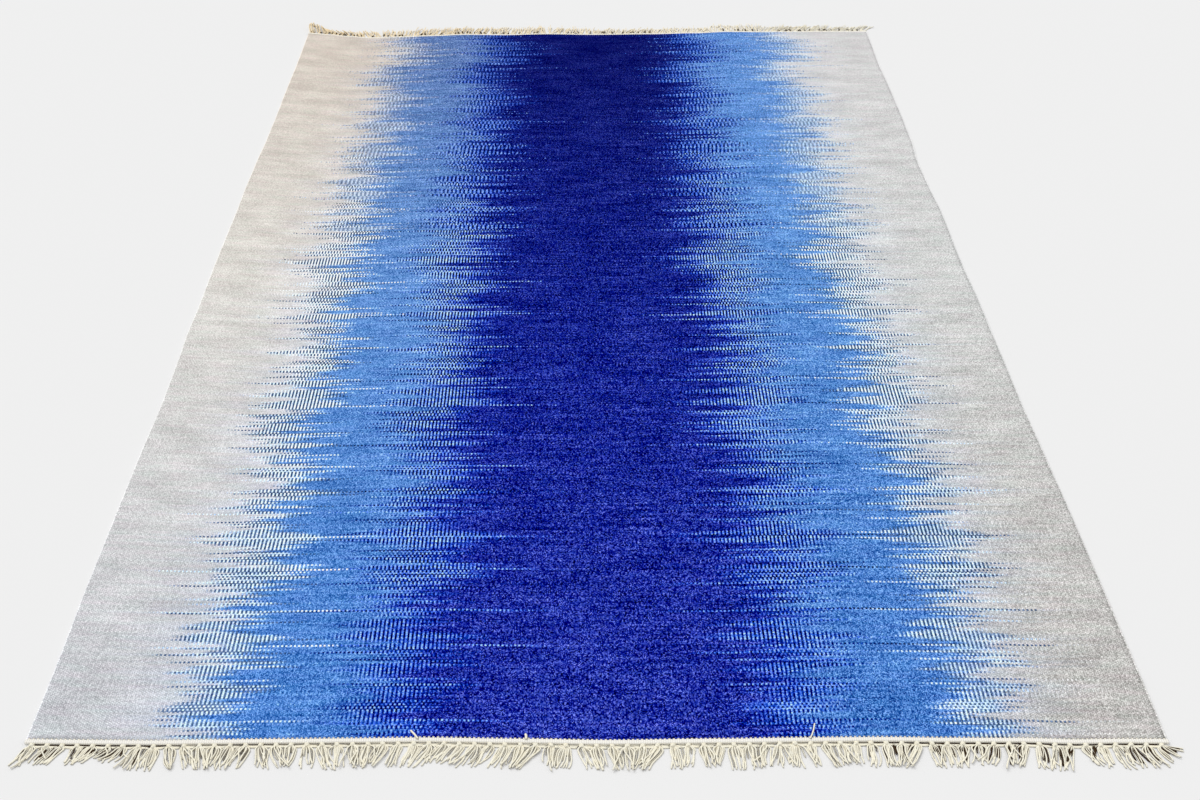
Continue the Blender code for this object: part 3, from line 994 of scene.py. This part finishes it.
    # Where light and dark picks lie side by side, the eye sees each the stronger, and it sees
    # the hue of both together
    for name, operation, *terms in (
        ("stronger", "SUBTRACT", "own_light", "both_light"),
        ("gain_light", "MULTIPLY_ADD", "both_light", 2.0, -1.3),
        ("gain_near", "MULTIPLY_ADD", "both_light", -1.2, 2.42),
        ("gain", "MULTIPLY_ADD", "gain_light", "along", "gain_near"),
        ("coarse_fade", "MULTIPLY_ADD", "both_light", -1.0, 0.06),
        ("gain_shown", "MULTIPLY_ADD", "coarse", "coarse_fade", 1.0),
        ("half_off", "SUBTRACT", "along", 0.5),
        ("half_square", "MULTIPLY", "half_off", "half_off"),
        ("half_way", "MULTIPLY_ADD", "half_square", -2.4, 1.40),
        ("gain_by_length", "MULTIPLY", "gain", "half_way"),
        ("gain_here", "MULTIPLY", "gain_by_length", "gain_shown"),
        ("contrast", "MULTIPLY", "stronger", "gain_here"),
        ("apart", "ABSOLUTE", "stronger"),
        # Painted highlights and shade of the yarn's twist and of single floats, with the yarn's
        # mottle, and streaks of dye along the picks
        ("painted_twist_light", "MULTIPLY_ADD", "fibre", 2.1, -1.05),
        ("painted_float_light_and_mottle", "MULTIPLY_ADD", "speckle", 0.6, -0.3),
        ("streak_grain", "MULTIPLY_ADD", "streak", 1.6, -0.8),
        ("grain_pair", "ADD", "painted_twist_light", "painted_float_light_and_mottle"),
        ("painted_light_mottle_and_streaks", "ADD", "grain_pair", "streak_grain"),
        # How strong the speckle of painted highlights, shade and mottle is
        ("speckle_strength", "MULTIPLY_ADD", "both_light", -0.29, 0.332),
        ("speckle_by_side", "MULTIPLY_ADD", "own_at", 0.25, 0.86),
        ("speckle_here", "MULTIPLY", "speckle_strength", "speckle_by_side"),
        ("deep", "SUBTRACT", 0.49, "both_light"),
        ("deeper", "MAXIMUM", "deep", 0.0),
        ("middling_light", "SUBTRACT", "both_light", 0.5),
        ("from_middling", "ABSOLUTE", "middling_light"),
        ("far_share", "POWER", "along", 3.0),
        ("far_fade", "MULTIPLY", "from_middling", "far_share"),
        ("fade", "MULTIPLY_ADD", "far_fade", -1.7, 1.0),
        ("speckle_even", "MULTIPLY", "speckle_here", "fade"),
        ("apart_far", "MULTIPLY", "apart", "along"),
        ("speckle_faded", "MULTIPLY_ADD", "apart_far", 0.60, "speckle_even"),
        ("blotch", "MULTIPLY_ADD", "cloud", 0.14, -0.07),
        # Along the outermost rib and a third the colour is lightened: partly the paler edge yarn,
        # partly a painted highlight that lifts the shade of the rolled selvedge
        ("outmost", "SUBTRACT", "from_edge", WARP_ENDS / 2 - 1.3),
        ("selvedge", "MAXIMUM", "outmost", 0.0),
        ("selvedge_and_blotch", "MULTIPLY_ADD", "selvedge", 0.15, "blotch"),
        ("contrast_and_blotch", "ADD", "contrast", "selvedge_and_blotch"),
        ("tone", "MULTIPLY_ADD", "painted_light_mottle_and_streaks", "speckle_faded", "contrast_and_blotch"),
        ("redder", "MULTIPLY_ADD", "hue", 0.03, -0.015),
        ("greener", "MULTIPLY_ADD", "hue", -0.03, 0.015),
        ("deep_mix", "MULTIPLY", "apart", "deeper"),
        ("half_over", "SUBTRACT", "half_way", 0.95),
        ("deep_half", "MULTIPLY", "half_over", "deeper"),
        ("half_red", "MULTIPLY_ADD", "deep_half", -0.34, "redder"),
        ("half_green", "MULTIPLY_ADD", "deep_half", -0.28, "greener"),
        ("most_apart", "MULTIPLY", "deep_mix", "apart"),
        ("clipped", "MULTIPLY", "most_apart", "contrast"),
        ("mix_red", "MULTIPLY_ADD", "clipped", -12.0, "half_red"),
        ("mix_green", "MULTIPLY_ADD", "clipped", -20.0, "half_green"),
        ("less_red", "MULTIPLY_ADD", "deep_mix", -3.0, "mix_red"),
        ("less_green", "MULTIPLY_ADD", "deep_mix", -1.0, "mix_green"),
        ("tone_red", "ADD", "tone", "less_red"),
        ("tone_green", "ADD", "tone", "less_green"),
        ("tone_blue", "MULTIPLY_ADD", "deep_mix", 1.8, "tone"),
        ("undyed_near", "LESS_THAN", "pick", 0.5),
        ("undyed_far", "GREATER_THAN", "pick", DYED_PICKS - 0.5),
        ("undyed", "MAXIMUM", "undyed_near", "undyed_far"),
        # Painted shade between the ribs and at the ends of each float, painted light on its crown
        ("rib_at", "FRACT", "ends"),
        ("rib_off", "MULTIPLY_ADD", "rib_at", 2.0, -1.0),
        ("rib_square", "MULTIPLY", "rib_off", "rib_off"),
        ("rib_left", "SUBTRACT", 1.0, "rib_square"),
        ("rib", "SQRT", "rib_left"),
        ("float_at", "FRACT", "pair"),
        ("float_off", "MULTIPLY_ADD", "float_at", 2.0, -1.0),
        ("float_fourth", "POWER", "float_off", 4.0),
        ("float_left", "SUBTRACT", 1.0, "float_fourth"),
        ("height", "MULTIPLY", "rib", "float_left"),
        ("painted_rib_light_and_shade", "MULTIPLY_ADD", "height", 0.24, 0.91),
    ):
        feeds = {i: known.get(term, term) for i, term in enumerate(terms)}
        known[name] = add_node(tree, "ShaderNodeMath", {"operation": operation}, feeds).outputs[0]
    tint = add_node(
        tree,
        "ShaderNodeCombineColor",
        None,
        {0: known["tone_red"], 1: known["tone_green"], 2: known["tone_blue"]},
    )
    toned = add_node(
        tree,
        "ShaderNodeMix",
        {"data_type": "RGBA", "blend_type": "ADD", "clamp_result": True},
        {0: 1.0, 6: both.outputs[2], 7: tint.outputs[0]},
    )
    cotton = add_node(
        tree,
        "ShaderNodeMix",
        {"data_type": "RGBA"},
        {0: known["undyed"], 6: toned.outputs[2], 7: shown("#ece6d4")},
    )
    true_light = add_node(tree, "ShaderNodeGamma", None, {0: cotton.outputs[2], 1: DISPLAY_GAMMA})
    # The colour scaled by the painted light and shade of the ribs
    shaded = add_node(
        tree,
        "ShaderNodeVectorMath",
        {"operation": "SCALE"},
        {0: true_light.outputs[0], "Scale": known["painted_rib_light_and_shade"]},
    )
    tree.links.new(shaded.outputs[0], shader.inputs["Base Color"])
    bump = add_node(
        tree,
        "ShaderNodeBump",
        None,
        {"Strength": 0.8, "Distance": 0.6 * MM, "Height": known["height"]},
    )
    tree.links.new(bump.outputs[0], shader.inputs["Normal"])
    shader.inputs["Roughness"].default_value = 0.95
    shader.inputs["Specular IOR Level"].default_value = 0.0
    return material


def undyed_cotton(name, plied, pale, tan, warmth):
    """Unbleached cotton yarn: warm cream, matt, with tan husk flecks, darkened towards brown by
    painted shade where each point is marked for it.

    Plied yarn shows the slanting grooves of its two plies; woven yarn shows its fibres alone.
    The yarn at the far left is yellower than the rest, by the share called warmth.
    """
    tones_a_metre, fibres_a_metre, ply_turn_mm = 160.0, 900.0, 5.5
    material, tree, shader = new_material(name)
    painted_shade = add_node(
        tree, "ShaderNodeAttribute", {"attribute_type": "GEOMETRY", "attribute_name": "painted_shade"}
    )
    where = add_node(tree, "ShaderNodeTexCoord")
    tone = add_node(
        tree,
        "ShaderNodeTexNoise",
        None,
        {"Vector": where.outputs["Object"], "Scale": tones_a_metre, "Detail": 2.0},
    )
    cream = add_node(
        tree,
        "ShaderNodeMix",
        {"data_type": "RGBA"},
        {0: tone.outputs[0], 6: linear(pale), 7: linear(tan)},
    )
    spot = add_node(tree, "ShaderNodeSeparateXYZ", None, {0: where.outputs["Object"]})
    known = {"x": spot.outputs[0], "y": spot.outputs[1]}
    sums = [
        ("leftward", "MULTIPLY_ADD", "x", -0.65, 0.5),
        ("farther", "MULTIPLY_ADD", "y", 0.45, 0.45),
        ("not_near", "MAXIMUM", "farther", 0.0),
        ("corner", "MULTIPLY", "leftward", "not_near"),
        ("yellowing", "MULTIPLY", "corner", warmth),
    ]
    if plied:
        counts = add_node(tree, "ShaderNodeUVMap", {"uv_map": "threads"})
        split = add_node(tree, "ShaderNodeSeparateXYZ", None, {0: counts.outputs[0]})
        known.update({"turn": split.outputs[0], "run": split.outputs[1]})
        sums += [
            ("groove", "MULTIPLY_ADD", "run", 1.0 / ply_turn_mm, "turn"),
            ("angle", "MULTIPLY", "groove", 2 * math.pi),
            ("wave", "SINE", "angle"),
            ("relief", "ABSOLUTE", "wave"),
        ]
    else:
        fibres = add_node(
            tree,
            "ShaderNodeTexNoise",
            None,
            {"Vector": where.outputs["Object"], "Scale": fibres_a_metre, "Detail": 2.0},
        )
        known["relief"] = fibres.outputs[0]
    for name, operation, *terms in sums:
        feeds = {i: known.get(term, term) for i, term in enumerate(terms)}
        known[name] = add_node(tree, "ShaderNodeMath", {"operation": operation}, feeds).outputs[0]
    yellowed = add_node(
        tree,
        "ShaderNodeMix",
        {"data_type": "RGBA", "blend_type": "MULTIPLY", "clamp_factor": True},
        {0: known["yellowing"], 6: cream.outputs[2], 7: linear("#ffefd7")},
    )
    # Painted shade: the colour goes towards dark brown as far as each point is marked for shade
    dark = add_node(
        tree,
        "ShaderNodeMix",
        {"data_type": "RGBA"},
        {0: painted_shade.outputs["Fac"], 6: yellowed.outputs[2], 7: linear("#40301e")},
    )
    tree.links.new(dark.outputs[2], shader.inputs["Base Color"])
    bump = add_node(
        tree,
        "ShaderNodeBump",
        None,
        {"Strength": 0.6, "Distance": 0.4 * MM, "Height": known["relief"]},
    )
    tree.links.new(bump.outputs[0], shader.inputs["Normal"])
    shader.inputs["Roughness"].default_value = 0.95
    shader.inputs["Specular IOR Level"].default_value = 0.1
    return material


def studio():
    """A plain pale floor, an even white surround and one very soft lamp high on the left."""
    material, _, shader = new_material("pale_floor_paint")
    shader.inputs["Base Color"].default_value = linear("#efefef")
    shader.inputs["Roughness"].default_value = 1.0
    shader.inputs["Specular IOR Level"].default_value = 0.0
    reach = 30.0
    corners = [(-reach, -reach, 0), (reach, -reach, 0), (reach, reach, 0), (-reach, reach, 0)]
    mesh = bpy.data.meshes.new("floor")
    mesh.from_pydata(corners, [], [(0, 1, 2, 3)])
    mesh.materials.append(material)
    floor = bpy.data.objects.new("floor", mesh)
    bpy.context.scene.collection.objects.link(floor)

    world = bpy.data.worlds.new("studio_surround")
    world.use_nodes = True
    surround = world.node_tree.nodes["Background"]
    surround.inputs["Color"].default_value = (1.0, 1.0, 1.0, 1.0)
    surround.inputs["Strength"].default_value = 0.70
    bpy.context.scene.world = world

    lamp = bpy.data.lights.new("soft_lamp", "SUN")
    lamp.energy = 1.23
    lamp.angle = math.radians(40)
    soft = bpy.data.objects.new("soft_lamp", lamp)
    soft.rotation_euler = (math.radians(-28), math.radians(-28), 0.0)
    bpy.context.scene.collection.objects.link(soft)

    bpy.context.scene.view_settings.view_transform = "Standard"
    bpy.context.scene.view_settings.look = "None"


def camera():
    """Stands at the near end, about one and a half metres up, and looks down along the rug."""
    x, y, height, pitch = -0.02451, -2.41828, 1.47485, 36.8686
    lens = bpy.data.cameras.new("camera")
    lens.lens = 41.5318
    lens.sensor_width = 36.0
    lens.shift_x = 0.018443
    eye = bpy.data.objects.new("camera", lens)
    eye.location = (x - MIDDLE[0], y - MIDDLE[1], height)
    eye.rotation_euler = (math.radians(90 - pitch), 0.0, 0.0)
    bpy.context.scene.collection.objects.link(eye)
    bpy.context.scene.camera = eye


camera()
studio()

ikat = ikat_weft_cotton()
woven_cotton = undyed_cotton("undyed_woven_cotton", False, "#fffef9", "#fef9ee", 0.15)
plied_cotton = undyed_cotton("undyed_plied_cotton", True, "#fffef2", "#fff6dc", 1.0)

field = woven_field(ikat)
dyed = [field, selvedge(-1, ikat), selvedge(1, ikat)]
near = [
    heading(-1, "heading_near", woven_cotton),
    knots(-1, "knots_near", plied_cotton, 5),
    *strands(-1, NEAR_GROUPS, "strands_near", plied_cotton, 11, 0.0, 0.0),
    stray_ends(plied_cotton),
]
far = [
    heading(1, "heading_far", woven_cotton),
    knots(1, "knots_far", plied_cotton, 6),
    *strands(1, FAR_GROUPS, "strands_far", plied_cotton, 29, 0.7, 12.4),
]
for pieces, node, slot in (
    (dyed, "woven_field", "dyed_weft_cotton"),
    (near, "fringe_near", "natural_warp_cotton"),
    (far, "fringe_far", "natural_warp_cotton"),
):
    for piece in pieces:
        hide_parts(node)
